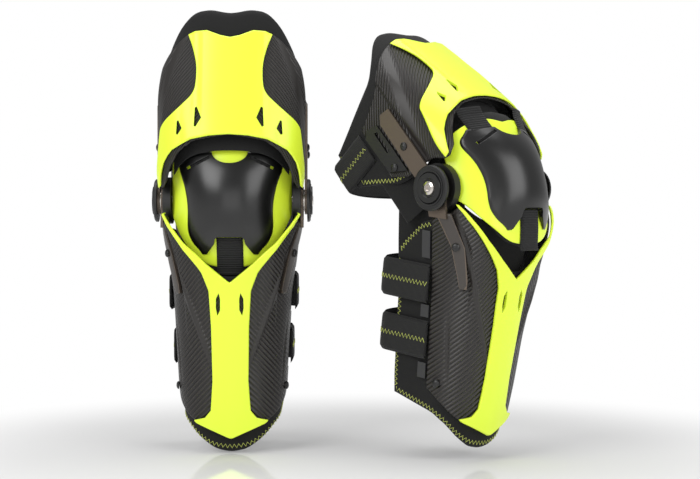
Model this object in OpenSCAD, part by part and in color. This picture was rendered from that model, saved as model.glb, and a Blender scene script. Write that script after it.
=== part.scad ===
// Pair of hinged knee and shin guards.
// Millimetres. Each guard: X across the leg, -Y forward, Z up, knee axis along X at z = 0.

/* [Pose] */
// Bend of the left guard's knee as shown
left_flex = 0; // [0:1:80]
// Bend of the right guard's knee as shown
right_flex = 49; // [0:1:80]

/* [Overall size] */
// Half width of the thigh shell beside the knee
thigh_half_width = 77; // [74:1:90]
// Half width of the shin shell at its shoulders
shin_half_width = 73; // [64:1:73]
// Height of the thigh shell above the knee axis
thigh_height = 180; // [150:1:216]
// Length of the shin shell below the knee axis
shin_length = 240; // [200:1:288]
// Front of the cup ahead of the knee axis
cup_depth = 54; // [45:1:56]

/* [Shells and liners] */
// Wall of the moulded shells
shell_wall = 2.6; // [2:0.1:3]
// Thickness of the foam liners
liner_thick = 9; // [6:0.5:11]
// Gap left between stacked layers
layer_gap = 0.5; // [0.3:0.1:0.6]

/* [Hinge] */
// Radius of the round hinge covers
hinge_radius = 23; // [19:0.5:24]
// Radius of the hinge pin
pin_radius = 5; // [3:0.5:6.5]
// Running clearance of turning parts
run_fit = 0.1; // [0.05:0.01:0.3]
// Thickness of the hinge arms
arm_thick = 2.6; // [2:0.1:3]

/* [Straps] */
// Width of the calf straps
calf_strap_width = 40; // [32:1:46]
// Width of the thigh strap
thigh_strap_width = 38; // [30:1:44]
// Thickness of the straps
strap_thick = 3; // [2:0.5:4]

/* [Hidden] */
yellow = [0.93, 1, 0.31];
black = [0.11, 0.11, 0.11];
charcoal = [0.22, 0.21, 0.2];
bronze = [0.48, 0.44, 0.4];
silver = [0.78, 0.76, 0.74];
pair_spacing = 264;
pair_advance = 76;
right_yaw = 45;
right_lean = 7;
right_lift = 12;
strap_seat = 0.3;
strap_start = 4.2;
section_power = 0.8;
depth_power = 0.9;
rear_step = 0.9;
// stack across the hinge, outward from the leg
side_pad_in = 52.4;
side_pad_out = 56.8;
link_in = 59.9;
link_out = link_in + 2;
backing_in = 64.8;
shin_arm_in = shin_half_width + layer_gap;
shin_arm_out = shin_arm_in + arm_thick;
washer_thick = thigh_half_width + layer_gap - shin_arm_out - 2 * run_fit;
thigh_arm_in = thigh_half_width + layer_gap;
thigh_arm_out = thigh_arm_in + arm_thick;
cover_in = thigh_arm_out + run_fit;
cover_thick = 5.4;

// scale factors that let the outlines follow the overall sizes
up = thigh_height / 180;
down = shin_length / 240;

// half width and front depth of the thigh shell at height z
function thigh_w(z) = thigh_half_width * lookup(z / up, [[110, 1], [140, 0.96], [181, 0.84], [205, 0.74]]);
function thigh_d(z) = lookup(z / up, [[0, 72], [30, 70], [67, 65], [120, 53], [178, 38], [205, 32]]);
// half width and front depth of the shin shell at height z
function shin_w(z) = shin_half_width * lookup(z / down, [[-268, 0.52], [-250, 0.66], [-231, 0.74],
    [-199, 0.795], [-98, 0.87], [-62, 0.94], [-28, 0.99], [-5, 1]]);
function shin_d(z) = lookup(z / down, [[-268, 33], [-230, 37], [-102, 49], [-60, 56], [-11, 62]]);

// point on a section: t is the angle from the front, past 90 the side runs straight back
function section(w, d, t, z) =
    abs(t) <= 90 ? [sign(t) * w * pow(abs(sin(t)), section_power), -d * pow(max(cos(t), 0), depth_power), z]
    : [sign(t) * w, (abs(t) - 90) * rear_step, z];
function thigh_point(t, z, off) = section(thigh_w(z) + off, thigh_d(z) + off, t, z);
function shin_point(t, z, off) = section(shin_w(z) + off, shin_d(z) + off, t, z);
// the shells stand proud in front of the arms, so that the arms lie in a recess
proud = 3.6;
function thigh_proud(t, z) = proud * lookup(abs(t), [[35, 0], [60, 1], [77, 1], [81, 0]])
    * lookup(z / up, [[8, 0.3], [30, 1], [125, 1], [165, 0]]);
function shin_proud(t, z) = proud * max(0, min(1, (abs(t) - 24) / 12, (blade_front(z) - 8 - abs(t)) / 7))
    * lookup(z, [[-150, 0], [-100, 0.7], [-28, 1]]);
function thigh_skin(t, z, off) = thigh_point(t, z, off + thigh_proud(t, z));
function shin_skin(t, z, off) = shin_point(t, z, off + shin_proud(t, z));
// angle at which a section of half width w reaches x
function angle_at(x, w) = asin(min(1, pow(min(1, abs(x) / w), 1 / section_power)));

function steps(a, b, n) = [for (i = [0 : n]) a + (b - a) * i / n];
function mixed(a, b, k) = a + (b - a) * k;

// closed skin between two grids of the same size, outer seen from outside
module skin(outer, inner) {
    rows = len(outer);
    cols = len(outer[0]);
    n = rows * cols;
    points = concat([for (r = outer) each r], [for (r = inner) each r]);
    wall = [for (i = [0 : rows - 2], j = [0 : cols - 2]) let (a = i * cols + j, b = a + 1, c = a + cols,
        d = c + 1) each [[a, c, d], [a, d, b], [n + a, n + d, n + c], [n + a, n + b, n + d]]];
    ends = [for (j = [0 : cols - 2]) let (a = j, b = j + 1, c = (rows - 1) * cols + j, d = c + 1)
        each [[a, b, n + b], [a, n + b, n + a], [c, n + d, d], [c, n + c, n + d]]];
    sides = [for (i = [0 : rows - 2]) let (a = i * cols, b = a + cols, c = a + cols - 1, d = c + cols)
        each [[a, n + b, b], [a, n + a, n + b], [c, d, n + d], [c, n + d, n + c]]];
    polyhedron(points = points, faces = concat(wall, ends, sides));
}

// keeps a mirrored, vented panel one mesh
module as_mesh() {
    resize([0, 0, 0]) children();
}

module both_sides() {
    children();
    mirror([1, 0, 0]) children();
}

module along_x(x0, x1) {
    translate([x0, 0, 0]) rotate([90, 0, 90]) linear_extrude(x1 - x0) children();
}

module guard(side) {
    if (side == "left") {
        children();
    } else {
        translate([pair_spacing, -pair_advance, right_lift]) rotate([0, 0, right_yaw])
            rotate([right_lean, 0, 0]) children();
    }
}

function flex_of(side) = side == "left" ? left_flex : right_flex;

module cup_frame(side) {
    guard(side) rotate([-flex_of(side) / 2, 0, 0]) children();
}

module thigh_frame(side) {
    guard(side) rotate([-flex_of(side), 0, 0]) children();
}

// ---- shin ----
shin_side_angle = 94;
function shin_top(t) = lookup(abs(t), [[0, -86], [12, -79], [25, -66], [40, -46], [55, -27], [66, -15],
    [71, -20], [80, -28], [90, -29], [130, -52], [150, -70]]);
function shin_bottom(t) = down * lookup(abs(t), [[0, -246], [30, -240], [55, -228], [75, -216], [94, -205]]);
module shin_shell(side) {
    ts = steps(-shin_side_angle, shin_side_angle, 26);
    color(charcoal) guard(side) skin(
        [for (k = steps(0, 1, 9)) [for (t = ts) shin_skin(t, mixed(shin_bottom(t), shin_top(t), k), 0)]],
        [for (k = steps(0, 1, 9)) [for (t = ts)
            shin_skin(t, mixed(shin_bottom(t), shin_top(t), k), -shell_wall)]]);
}

liner_side_angle = 150;
liner_seat = shell_wall + layer_gap;
function shin_liner_top(t) = lookup(abs(t), [[0, -80], [16, -79], [27, -75], [37, -64], [50, -55], [61, -49],
    [70, -39], [80, -32], [90, -30], [112, -36], [134, -54], [150, -70]]);
function shin_liner_bottom(t) = down * lookup(abs(t), [[0, -267], [25, -264], [45, -255], [65, -242],
    [90, -232], [150, -220]]);
module shin_liner(side) {
    ts = steps(-liner_side_angle, liner_side_angle, 26);
    color(black) guard(side) skin(
        [for (k = steps(0, 1, 8)) [for (t = ts)
            shin_point(t, mixed(shin_liner_bottom(t), shin_liner_top(t), k), -liner_seat)]],
        [for (k = steps(0, 1, 8)) [for (t = ts)
            shin_point(t, mixed(shin_liner_bottom(t), shin_liner_top(t), k), -liner_seat - liner_thick)]]);
}

plate_lift = layer_gap + 0.5;
// shares of the way from the inner to the outer line, closer where the section turns fastest
plate_columns = [0, 0.22, 0.4, 0.54, 0.66, 0.76, 0.84, 0.9, 0.95, 1];
plate_wall = 2.4;
shin_plate_split = -86;
function shin_plate_out(z) = lookup(z / down, [[-252, 1], [-246, 14], [-233, 40], [-230, 26], [-222, 20.8],
    [-190, 18.7], [-133, 19.7], [-95, 21], [-76, 28], [-53, 45], [-27, 63], [-13, 69]]);
function shin_plate_in(z) = z <= shin_plate_split ? 0 : lookup(z, [[-86, 0], [-66, 24], [-46, 44],
    [-27, 58.5], [-13, 67.6]]);
shin_plate_rows = concat([-252, -246, -240, -233, -230, -222, -205, -180, -155, -130, -108] * down,
    [-92, -86, -76, -66, -56, -46, -36, -27, -20, -13]);
module shin_vent() {
    translate([12, 0, -109]) rotate([90, 0, 0]) linear_extrude(90)
        polygon([[-2, -12], [2, -4], [2, 12], [-2, 4]]);
}
module shin_plate(side) {
    color(yellow) guard(side) as_mesh() difference() {
        both_sides() skin(
            [for (z = shin_plate_rows) [for (k = plate_columns)
                let (w = shin_w(z), x = mixed(shin_plate_in(z), shin_plate_out(z), k))
                shin_skin(sign(x) * angle_at(x, w), z, plate_lift + plate_wall)]],
            [for (z = shin_plate_rows) [for (k = plate_columns)
                let (w = shin_w(z), x = mixed(shin_plate_in(z), shin_plate_out(z), k))
                shin_skin(sign(x) * angle_at(x, w), z, plate_lift)]]);
        both_sides() shin_vent();
    }
}

arm_rows = [-98, -89, -78, -67, -56, -45, -34, -24];
function blade_back(z) = lookup(z, [[-98, 58], [-56, 70], [-24, 88]]);
function blade_front(z) = lookup(z, [[-98, 50], [-89, 50], [-56, 56], [-24, 72]]);
eye_radius = 15;
module shin_arms(side) {
    color(bronze) guard(side) both_sides() difference() {
        union() {
            along_x(shin_arm_in, shin_arm_out) circle(r = eye_radius, $fn = 64);
            along_x(shin_arm_in, shin_arm_out) polygon([[-14, -3], [10, -10], [4, -29], [-19, -29]]);
            skin([for (z = arm_rows) [for (k = steps(0, 1, 3))
                    shin_point(-mixed(blade_back(z), blade_front(z), k), z, layer_gap + arm_thick)]],
                [for (z = arm_rows) [for (k = steps(0, 1, 3))
                    shin_point(-mixed(blade_back(z), blade_front(z), k), z, layer_gap)]]);
        }
        along_x(shin_arm_in - 1, shin_arm_out + 1) circle(r = pin_radius + run_fit, $fn = 64);
    }
}

// round head standing on a section surface, pointing outward
rivet_radius = 4.2;
module rivet_head() {
    rotate_extrude($fn = 32) polygon([[0, 0], [rivet_radius, 0], [rivet_radius, 0.9], [3.2, 1.9], [1.6, 2.5],
        [0, 2.6]]);
}
module rivet_on_shin(t, z, lift) {
    p = shin_point(t, z, lift);
    q = shin_point(t + 2, z, lift);
    translate(p) rotate([0, 0, atan2(q[1] - p[1], q[0] - p[0]) - 90]) rotate([0, 90, 0]) rivet_head();
}
module shin_rivets(side) {
    color(black) guard(side) both_sides() {
        rivet_on_shin(65, -56, layer_gap + arm_thick + 0.6);
        rivet_on_shin(78, -198 * down, 0.6);
    }
}

// band that leaves the shell sides and closes behind the leg
function band(w, back, round_at) = concat([for (a = steps(0, 180, 24)) [w * cos(a), round_at + (back - round_at)
    * pow(max(sin(a), 0), 0.8)]], [[-w, strap_start], [w, strap_start]]);
module strap_band(w, back, round_at, z, height) {
    translate([0, 0, z]) linear_extrude(height) difference() {
        polygon(band(w + strap_thick, back, round_at));
        polygon(concat([for (a = steps(0, 180, 24)) [w * cos(a), round_at + (back - strap_thick - round_at)
            * pow(max(sin(a), 0), 0.8)]], [[-w, -3], [w, -3]]));
    }
}
calf_back = 86;
thigh_back = 100;
calf_corner = 58;
thigh_corner = 88;
calf_upper_base = -118;
calf_lower_base = -176;
module calf_strap_upper(side) {
    color(black) guard(side) strap_band(shin_w(calf_upper_base + calf_strap_width) + strap_seat,
        calf_back, calf_corner, calf_upper_base, calf_strap_width);
}
module calf_strap_lower(side) {
    color(black) guard(side) strap_band(shin_w(calf_lower_base * down + calf_strap_width)
        + strap_seat, calf_back - 2, calf_corner, calf_lower_base * down, calf_strap_width);
}

flange_rows = 5;
module flange(z0, z1) {
    skin([for (z = steps(z0, z1, flange_rows)) [for (t = [96, 102, 108]) shin_point(t, z, 0)]],
        [for (z = steps(z0, z1, flange_rows)) [for (t = [96, 102, 108]) shin_point(t, z, -shell_wall)]]);
}
module strap_flanges(side) {
    color(charcoal) guard(side) both_sides() {
        flange(-72, -44);
        flange(-133, -120);
        flange(-196 * down, -180 * down);
    }
}

// ---- hinge ----
module hinge_backings(side) {
    color(black) guard(side) both_sides() difference() {
        along_x(backing_in, shin_arm_in - run_fit) circle(r = hinge_radius + 2, $fn = 96);
        along_x(backing_in - 1, shin_arm_in + 1) circle(r = pin_radius, $fn = 64);
    }
}
module hinge_washers(side) {
    color(silver) guard(side) both_sides() difference() {
        along_x(shin_arm_out + run_fit, shin_arm_out + run_fit + washer_thick) circle(r = 12, $fn = 64);
        along_x(shin_arm_out, thigh_arm_in) circle(r = pin_radius + run_fit, $fn = 64);
    }
}
module hinge_covers(side) {
    color(black) guard(side) both_sides() translate([cover_in, 0, 0]) rotate([0, 90, 0])
        rotate_extrude($fn = 96) polygon([[pin_radius, 0], [hinge_radius, 0], [hinge_radius, 2.2],
        [hinge_radius - 1.5, 3.4], [hinge_radius - 5, 3.4], [hinge_radius - 5, 2.2], [hinge_radius - 7, 2.2],
        [hinge_radius - 8, cover_thick], [10, cover_thick], [8.5, 3.6], [pin_radius, 3.6]]);
}
module hinge_rings(side) {
    color(charcoal) guard(side) both_sides() translate([cover_in + 2.2, 0, 0]) rotate([0, 90, 0])
        rotate_extrude($fn = 96) polygon([[hinge_radius - 6.8, 0], [hinge_radius - 5.1, 0],
        [hinge_radius - 5.1, 1.8], [hinge_radius - 6.6, 1.8]]);
}
pin_head_radius = 7.5;
module hinge_pins(side) {
    head = cover_in + 3.6;
    color(silver) guard(side) both_sides() {
        rotate([0, 90, 0]) rotate_extrude($fn = 64) polygon([[0, link_in - 2.8], [pin_head_radius, link_in - 2.8],
            [pin_head_radius, link_in - 0.1], [pin_radius, link_in - 0.1], [pin_radius, head],
            [pin_head_radius, head], [pin_head_radius - 0.8, head + 1.6], [4.5, head + 2.6], [3, head + 2.6],
            [3, head + 0.6], [0, head + 0.6]]);
    }
}

// ---- knee cup ----
cup_half = 65.6;
cup_side_angle = 78;
function cup_top(t) = lookup(abs(t), [[0, 57], [8, 60], [22, 62], [36, 59], [52, 54], [65, 48], [78, 36]]);
function cup_bottom(t) = lookup(abs(t), [[0, -71], [16, -70], [26, -66], [36, -57], [52, -42], [65, -26],
    [78, -14]]);
function cup_point(t, z, off) = [(cup_half + off) * sin(t),
    -(cup_depth + off - 14 * pow(z / 70, 2)) * cos(t), z];
function cup_y(x, z) = -(cup_depth - 14 * pow(z / 70, 2)) * cos(asin(min(1, abs(x) / cup_half)));
module cup_shell(side) {
    ts = steps(-cup_side_angle, cup_side_angle, 24);
    color(yellow) cup_frame(side) skin(
        [for (k = steps(0, 1, 8)) [for (t = ts) cup_point(t, mixed(cup_bottom(t), cup_top(t), k), 0)]],
        [for (k = steps(0, 1, 8)) [for (t = ts)
            cup_point(t, mixed(cup_bottom(t), cup_top(t), k), -shell_wall)]]);
}

cover_rows = [-57, -54, -48, -40, -30, -18, -5, 8, 20, 30, 38, 44, 48, 51];
function cover_half(z) = lookup(z, [[-57, 27], [-50, 36], [-40, 43], [-30, 45.6], [-18, 45], [-5, 45],
    [8, 47], [20, 50], [30, 54], [38, 56], [44, 54], [48, 50], [51, 44]]);
function cover_rise(u, z) = 1.8 + 9.5 * pow(1 - pow(abs(u), 2.4), 0.8) * (1 - pow(abs(z + 3) / 54.5, 2.4));
module cup_cover(side) {
    color(black) cup_frame(side) as_mesh() difference() {
        skin([for (z = cover_rows) [for (u = steps(-1, 1, 16)) let (x = u * cover_half(z))
                [x, cup_y(x, z) - layer_gap - cover_rise(u, z), z]]],
            [for (z = cover_rows) [for (u = steps(-1, 1, 16)) let (x = u * cover_half(z))
                [x, cup_y(x, z) - layer_gap, z]]]);
        translate([0, 0, 39]) rotate([90, 0, 0]) linear_extrude(90) polygon([[-12, 0], [12, 0], [18, 5],
            [19.5, 20], [-19.5, 20], [-18, 5]]);
        translate([0, 0, -60]) rotate([90, 0, 0]) linear_extrude(90) polygon([[-17, -1], [17, -1], [15.5, 12],
            [15.5, 22], [-15.5, 22], [-15.5, 12]]);
    }
}

pad_thick = 7;
function pad_top(t) = lookup(abs(t), [[0, 72], [20, 70], [36, 60], [62, 44]]);
function pad_bottom(t) = lookup(abs(t), [[0, -74], [26, -66], [36, -58], [62, -26]]);
module knee_pad(side) {
    ts = steps(-62, 62, 16);
    color(black) cup_frame(side) skin(
        [for (k = steps(0, 1, 7)) [for (t = ts)
            cup_point(t, mixed(pad_bottom(t), pad_top(t), k), -liner_seat)]],
        [for (k = steps(0, 1, 7)) [for (t = ts)
            cup_point(t, mixed(pad_bottom(t), pad_top(t), k), -liner_seat - pad_thick)]]);
}

link_radius = 9.8;
link_front = 10.1;
module cup_links(side) {
    color(charcoal) cup_frame(side) both_sides() difference() {
        along_x(link_in, link_out) union() {
            circle(r = link_radius, $fn = 64);
            polygon([[0, -link_radius], [0, link_radius], [-link_front, 8], [-link_front, -7]]);
        }
        along_x(link_in - 1, link_out + 1) circle(r = pin_radius + run_fit, $fn = 64);
    }
}

webbing_thick = 2;
function strap_path(x, z0, z1, lift) = [for (z = steps(z0, z1, 8)) [cup_y(x, z) - lift, z]];
function reversed(list) = [for (i = [len(list) - 1 : -1 : 0]) list[i]];
lower_strap_half = 14;
module cup_strap_lower(side) {
    color(black) cup_frame(side) along_x(-lower_strap_half, lower_strap_half)
        polygon(concat(strap_path(0, -74, -39, layer_gap + webbing_thick),
        reversed(strap_path(0, -74, -39, layer_gap))));
}
upper_strap_in = 22;
upper_strap_out = 46;
upper_strap_top = 66;
module cup_straps_upper(side) {
    color(black) cup_frame(side) both_sides() along_x(upper_strap_in, upper_strap_out)
        polygon(concat(strap_path(upper_strap_in, 53, upper_strap_top, layer_gap + webbing_thick),
        reversed(strap_path(upper_strap_in, 53, upper_strap_top, layer_gap))));
}

side_pad_radius = 37;
module knee_side_pads(side) {
    color(black) cup_frame(side) both_sides() difference() {
        translate([side_pad_in, 0, 0]) rotate([0, 90, 0]) rotate_extrude($fn = 96)
            polygon([[0, 0], [side_pad_radius - 3, 0], [side_pad_radius, 2],
            [side_pad_radius, side_pad_out - side_pad_in], [0, side_pad_out - side_pad_in]]);
        along_x(side_pad_in + 1.2, side_pad_out + 1) circle(r = pin_head_radius + 0.6, $fn = 64);
        translate([0, -40, 0]) cube([140, 52, 90], center = true);
    }
}

// ---- thigh ----
thigh_side_angle = 130;
function thigh_top(t) = up * lookup(abs(t), [[0, 172], [20, 179], [36, 177], [52, 168], [66, 155], [80, 138],
    [90, 128], [130, 112]]);
function thigh_bottom(t) = lookup(abs(t), [[0, 68], [24, 62], [38, 52], [48, 38], [56, 20], [64, 13],
    [69, 14], [76, 22], [84, 27], [110, 32], [130, 48]]);
module thigh_shell(side) {
    half = concat(steps(0, 70, 10), [77, 81], steps(85, thigh_side_angle, 6));
    ts = concat([for (i = [len(half) - 1 : -1 : 1]) -half[i]], half);
    color(charcoal) thigh_frame(side) skin(
        [for (k = steps(0, 1, 12)) [for (t = ts) thigh_skin(t, mixed(thigh_bottom(t), thigh_top(t), k), 0)]],
        [for (k = steps(0, 1, 12)) [for (t = ts)
            thigh_skin(t, mixed(thigh_bottom(t), thigh_top(t), k), -shell_wall)]]);
}

thigh_liner_angle = 182;
function thigh_liner_top(t) = up * lookup(abs(t), [[0, 198], [18, 202], [40, 200], [55, 190], [70, 172],
    [90, 152], [120, 142], [150, 132], [182, 122]]);
function thigh_liner_bottom(t) = lookup(abs(t), [[0, 74], [24, 72], [38, 68], [52, 60], [60, 52], [70, 48],
    [80, 41], [88, 30], [110, 32], [130, 38], [150, 54], [182, 77]]);
module thigh_liner(side) {
    ts = steps(-thigh_liner_angle, thigh_liner_angle, 30);
    color(black) thigh_frame(side) skin(
        [for (k = steps(0, 1, 8)) [for (t = ts)
            thigh_point(t, mixed(thigh_liner_bottom(t), thigh_liner_top(t), k), -liner_seat)]],
        [for (k = steps(0, 1, 8)) [for (t = ts)
            thigh_point(t, mixed(thigh_liner_bottom(t), thigh_liner_top(t), k),
            -liner_seat - liner_thick)]]);
}

// columns run from the centre line out to the wing; each has its own lower and upper end
thigh_plate_rows = [15, 24, 38.5, 52.5, 58, 63.5, 64.5, 65.5, 66.5, 67.5, 68.5, 80, 88, 96, 113, 130, 145, 162, 171, 177];
function thigh_plate_in(z) = z >= 68.5 ? 0 : lookup(z, [[15, 69.4], [38.5, 66], [52.5, 59], [58, 51],
    [63.5, 40], [68.5, 0]]);
function thigh_plate_out(z) = lookup(z, [[15, 72.4], [24, 72.6], [38.5, 72], [60, 70], [80, 68], [96, 53],
    [113, 34], [130, 33], [145, 33.5], [162, 38], [177, 44]]);
module vent(x, z, tall, wide, slant) {
    translate([x, 0, z]) rotate([90, 0, 0]) linear_extrude(90)
        polygon([[-wide / 2 - slant, -tall / 2], [wide / 2, -tall / 8], [wide / 2 + slant, tall / 2],
        [-wide / 2, tall / 8]]);
}
module thigh_plate(side) {
    color(yellow) thigh_frame(side) as_mesh() difference() {
        both_sides() skin(
            [for (z = thigh_plate_rows) [for (k = plate_columns) let (h = z > 68.5 ? mixed(68.5, z, (up * 177
                - 68.5) / 108.5) : z, w = thigh_w(h), x = mixed(thigh_plate_in(z), thigh_plate_out(z), k))
                thigh_skin(sign(x) * angle_at(x, w), h, plate_lift + plate_wall)]],
            [for (z = thigh_plate_rows) [for (k = plate_columns) let (h = z > 68.5 ? mixed(68.5, z, (up * 177
                - 68.5) / 108.5) : z, w = thigh_w(h), x = mixed(thigh_plate_in(z), thigh_plate_out(z), k))
                thigh_skin(sign(x) * angle_at(x, w), h, plate_lift)]]);
        both_sides() vent(33, 87, 21, 4, 1.5);
        both_sides() vent(53, 76, 15, 4, 1);
        translate([0, 0, up * 173]) rotate([90, 0, 0]) linear_extrude(90)
            polygon([[0, -0.6], [12, 2], [20, 8], [-20, 8], [-12, 2]]);
    }
}

thigh_arm_top = 104;
module thigh_arms(side) {
    color(bronze) thigh_frame(side) both_sides() difference() {
        along_x(thigh_arm_in, thigh_arm_out) union() {
            circle(r = eye_radius, $fn = 64);
            polygon([[-10, -8], [10, -8], [9.5, thigh_arm_top - 8], [3, thigh_arm_top], [-9.5, thigh_arm_top - 3]]);
        }
        along_x(thigh_arm_in - 1, thigh_arm_out + 1) circle(r = pin_radius + run_fit, $fn = 64);
    }
}
module thigh_rivets(side) {
    color(black) thigh_frame(side) both_sides() {
        translate([thigh_arm_out, 0, 57]) rotate([0, 90, 0]) rivet_head();
        translate([thigh_half_width + anchor_thick + 0.4, 24, 50]) rotate([0, 90, 0]) rivet_head();
    }
}

anchor_thick = 2.4;
module thigh_anchors(side) {
    color(black) thigh_frame(side) both_sides() along_x(thigh_half_width + 0.3, thigh_half_width + 0.3
        + anchor_thick) difference() {
        polygon([[13, 36], [33, 52], [35, 100], [28, 106], [14, 100], [13, 66]]);
        polygon([[18, 68], [22, 68], [22, 96], [18, 94]]);
    }
}
thigh_strap_base = 76;
module thigh_strap(side) {
    color(black) thigh_frame(side) translate([0, 37, 0]) strap_band(thigh_half_width - 2, thigh_back - 37, thigh_corner - 37,
        thigh_strap_base, thigh_strap_width);
}

shin_liner("left");  // shin_liner_left
shin_shell("left");  // shin_shell_left
shin_plate("left");  // shin_plate_left
shin_arms("left");  // shin_arms_left
shin_rivets("left");  // shin_rivets_left
calf_strap_upper("left");  // calf_strap_upper_left
calf_strap_lower("left");  // calf_strap_lower_left
strap_flanges("left");  // strap_flanges_left
hinge_backings("left");  // hinge_backings_left
hinge_washers("left");  // hinge_washers_left
hinge_covers("left");  // hinge_covers_left
hinge_rings("left");  // hinge_rings_left
hinge_pins("left");  // hinge_pins_left
cup_shell("left");  // cup_shell_left
cup_cover("left");  // cup_cover_left
knee_pad("left");  // knee_pad_left
cup_links("left");  // cup_links_left
cup_strap_lower("left");  // cup_strap_lower_left
cup_straps_upper("left");  // cup_straps_upper_left
knee_side_pads("left");  // knee_side_pads_left
thigh_liner("left");  // thigh_liner_left
thigh_shell("left");  // thigh_shell_left
thigh_plate("left");  // thigh_plate_left
thigh_arms("left");  // thigh_arms_left
thigh_rivets("left");  // thigh_rivets_left
thigh_anchors("left");  // thigh_anchors_left
thigh_strap("left");  // thigh_strap_left
shin_liner("right");  // shin_liner_right
shin_shell("right");  // shin_shell_right
shin_plate("right");  // shin_plate_right
shin_arms("right");  // shin_arms_right
shin_rivets("right");  // shin_rivets_right
calf_strap_upper("right");  // calf_strap_upper_right
calf_strap_lower("right");  // calf_strap_lower_right
strap_flanges("right");  // strap_flanges_right
hinge_backings("right");  // hinge_backings_right
hinge_washers("right");  // hinge_washers_right
hinge_covers("right");  // hinge_covers_right
hinge_rings("right");  // hinge_rings_right
hinge_pins("right");  // hinge_pins_right
cup_shell("right");  // cup_shell_right
cup_cover("right");  // cup_cover_right
knee_pad("right");  // knee_pad_right
cup_links("right");  // cup_links_right
cup_strap_lower("right");  // cup_strap_lower_right
cup_straps_upper("right");  // cup_straps_upper_right
knee_side_pads("right");  // knee_side_pads_right
thigh_liner("right");  // thigh_liner_right
thigh_shell("right");  // thigh_shell_right
thigh_plate("right");  // thigh_plate_right
thigh_arms("right");  // thigh_arms_right
thigh_rivets("right");  // thigh_rivets_right
thigh_anchors("right");  // thigh_anchors_right
thigh_strap("right");  // thigh_strap_right
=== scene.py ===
# %% [markdown]
# # Hinged knee and shin guards
# Off-road guards of this kind are made of three injection-moulded shells, thigh, knee cup and shin, that hang
# on a pair of riveted hinges. The charcoal shells carry a moulded rib texture that looks like woven carbon.
# Bright polypropylene plates sit on top of them, and neoprene-faced foam lines the inside.
# The CAD model gives the places and the joints; every visible surface is worked out again here in finer steps.

# %% load the frame and the tools
import math

import bpy
import numpy as np
from mathutils import Matrix, Vector


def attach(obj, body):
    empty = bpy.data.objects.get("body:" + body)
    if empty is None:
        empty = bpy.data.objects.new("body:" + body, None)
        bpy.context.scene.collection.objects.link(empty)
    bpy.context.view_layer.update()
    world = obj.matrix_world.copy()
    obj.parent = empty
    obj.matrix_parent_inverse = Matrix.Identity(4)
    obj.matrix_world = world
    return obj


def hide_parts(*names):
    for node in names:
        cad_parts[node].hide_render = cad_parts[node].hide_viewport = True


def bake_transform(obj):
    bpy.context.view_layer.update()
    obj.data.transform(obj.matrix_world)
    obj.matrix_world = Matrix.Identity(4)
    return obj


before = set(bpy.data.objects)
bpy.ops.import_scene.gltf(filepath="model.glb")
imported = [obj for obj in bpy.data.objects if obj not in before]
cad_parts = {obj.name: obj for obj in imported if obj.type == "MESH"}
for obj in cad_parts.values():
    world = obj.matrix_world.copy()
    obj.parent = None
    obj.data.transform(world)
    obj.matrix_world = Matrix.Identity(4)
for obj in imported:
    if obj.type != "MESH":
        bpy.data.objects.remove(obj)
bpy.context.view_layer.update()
MM = 0.001

# %% [markdown]
# The straight guard stands at the origin. The other one is turned, leaned and bent, so each part is made in its
# own upright place and then carried to where that guard holds it. The cup turns half as far as the thigh.

# %% where each guard's bodies stand
SIDES = ("left", "right")
FLEX = {"left": 0.0, "right": 49.0}
STAND = {
    "left": Matrix.Identity(4),
    "right": Matrix.Translation((264.0, -76.0, 12.0))
    @ Matrix.Rotation(math.radians(45), 4, "Z")
    @ Matrix.Rotation(math.radians(7), 4, "X"),
}


def place(side, group):
    """The 4x4 matrix, in millimetres, from the upright guard to where that body rests."""
    share = {"shin": 0.0, "cup": 0.5, "thigh": 1.0}[group]
    return np.array(STAND[side] @ Matrix.Rotation(math.radians(-FLEX[side] * share), 4, "X"))


def carried(points, matrix):
    """Points in millimetres moved by a 4x4 and given in metres: p' = (R p + t) / 1000."""
    return (points @ matrix[:3, :3].T + matrix[:3, 3]) * MM


BODY = {"shin": lambda side: "shins", "cup": lambda side: "cup_" + side, "thigh": lambda side: "thigh_" + side}

# %% [markdown]
# ## The sections
# A shell like this is drawn as a row of D-shaped sections. Each section is a soft rectangle in front,
# x = w sin(t)^0.8 and y = -d cos(t)^0.9, and runs straight back past the widest point.
# Width and depth change with height, wide at the hinges and narrow at the ankle.

# %% widths and depths by height
THIGH_HALF = 77.0
SHIN_HALF = 73.0


def by(value, *pairs):
    """Straight steps between (place, size) pairs, as a whole array."""
    places, sizes = zip(*pairs)
    return np.interp(value, places, sizes)


def smooth_by(value, *pairs):
    """The same as by(), rounded off by averaging over a few places each side."""
    return sum(by(value + s, *pairs) for s in (-6, -3, 0, 3, 6)) / 5


def thigh_w(z):
    return THIGH_HALF * smooth_by(z, (110, 1), (140, 0.96), (181, 0.84), (205, 0.74))


def thigh_d(z):
    return smooth_by(z, (0, 72), (30, 70), (67, 65), (120, 53), (178, 38), (205, 32))


def shin_w(z):
    return SHIN_HALF * smooth_by(z, (-268, 0.52), (-250, 0.66), (-231, 0.74), (-199, 0.795), (-98, 0.87),
                                 (-62, 0.94), (-28, 0.99), (-5, 1))


def shin_d(z):
    return smooth_by(z, (-268, 33), (-230, 37), (-102, 49), (-60, 56), (-11, 62))


def section(w, d, t, z):
    """The D-shaped section: t is the angle from the front in degrees, z the height."""
    a = np.radians(np.clip(np.abs(t), 0, 90))
    x = np.sign(t) * w * np.sin(a) ** 0.8
    y = np.where(np.abs(t) <= 90, -d * np.clip(np.cos(a), 0, 1) ** 0.9, (np.abs(t) - 90) * 0.9)
    return np.stack([x, y, z + 0 * x], axis=-1)


def thigh_at(t, z, off):
    return section(thigh_w(z) + off, thigh_d(z) + off, t, z)


def shin_at(t, z, off):
    return section(shin_w(z) + off, shin_d(z) + off, t, z)


def blade_front(z):
    """Front edge of the shin arm's blade, as a section angle."""
    return by(z, (-98, 50), (-89, 50), (-56, 56), (-24, 72))


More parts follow.
